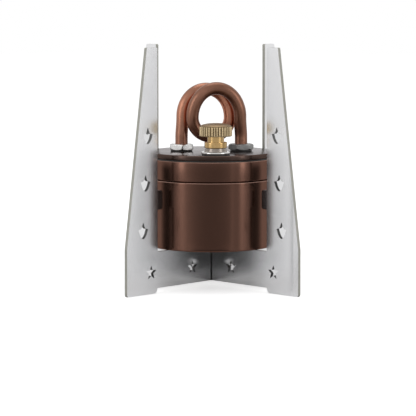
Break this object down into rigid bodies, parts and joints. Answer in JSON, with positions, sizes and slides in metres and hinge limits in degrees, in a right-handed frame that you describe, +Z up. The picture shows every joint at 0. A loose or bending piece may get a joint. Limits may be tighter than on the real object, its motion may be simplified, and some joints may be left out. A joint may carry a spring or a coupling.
{
  "type": "alcohol stove",
  "caption": "Alcohol burner with a looped copper vapour coil and brass filler cap, standing in a cross stand of slotted steel plates.",
  "frame": {"origin": "centre of the four feet on the floor", "axes": "+Z up; the lower stand plate lies along X and the upper one along Y"},
  "size_m": [0.1352, 0.1352, 0.1373],
  "materials": {
    "stand_steel": "satin rolled sheet, deburred edges",
    "brown_aluminium": "brown anodised, finely turned",
    "dark_aluminium": "dark brown anodised, polished top",
    "black_rubber": "smooth",
    "bright_steel": "bright plated",
    "copper": "heat-browned copper tube",
    "cotton": "braided wick",
    "brass": "turned and knurled, slightly dull"
  },
  "bodies": {
    "stand_lower": {"stand_plate_lower": "stand_steel"},
    "stand_upper": {"stand_plate_upper": "stand_steel"},
    "tank": {"fuel_cup": "brown_aluminium"},
    "rim_seal": {"cup_seal": "black_rubber"},
    "burner_head": {"tank_cover": "brown_aluminium", "lid_seal": "black_rubber", "lid": "dark_aluminium", "coil_studs": "bright_steel", "coil_washers": "black_rubber", "coil_nuts": "bright_steel", "vapour_coil": "copper", "leg_wicks": "cotton", "neck_gasket": "black_rubber", "filler_neck": "bright_steel"},
    "stopper_seal": {"cap_seal": "black_rubber"},
    "stopper": {"filler_cap": "brass"}
  },
  "joints": [
    {"name": "plate_lift", "type": "slide", "parent": "stand_lower", "child": "stand_upper", "axis": [0, 0, 1], "range_m": [0, 0.14]},
    {"name": "burner_lift", "type": "slide", "parent": "stand_upper", "child": "tank", "axis": [0, 0, 1], "range_m": [0, 0.125]},
    {"name": "head_turn", "type": "hinge", "parent": "tank", "child": "rim_seal", "pos_m": [0, 0, 0.0692], "axis": [0, 0, 1], "range_deg": [0, 1800]},
    {"name": "head_rise", "type": "slide", "parent": "rim_seal", "child": "burner_head", "axis": [0, 0, 1], "range_m": [0, 0.0076]},
    {"name": "cap_rise", "type": "slide", "parent": "burner_head", "child": "stopper_seal", "axis": [0, 0, 1], "range_m": [0, 0.0076]},
    {"name": "cap_turn", "type": "hinge", "parent": "stopper_seal", "child": "stopper", "pos_m": [0.02, -0.01708, 0.0812], "axis": [0, 0, 1], "range_deg": [0, 2160]}
  ],
  "couplings": [
    {"joint": "head_rise", "follows": "head_turn", "m_per_rad": 0.00023873},
    {"joint": "cap_rise", "follows": "cap_turn", "m_per_rad": 0.00019894}
  ]
}
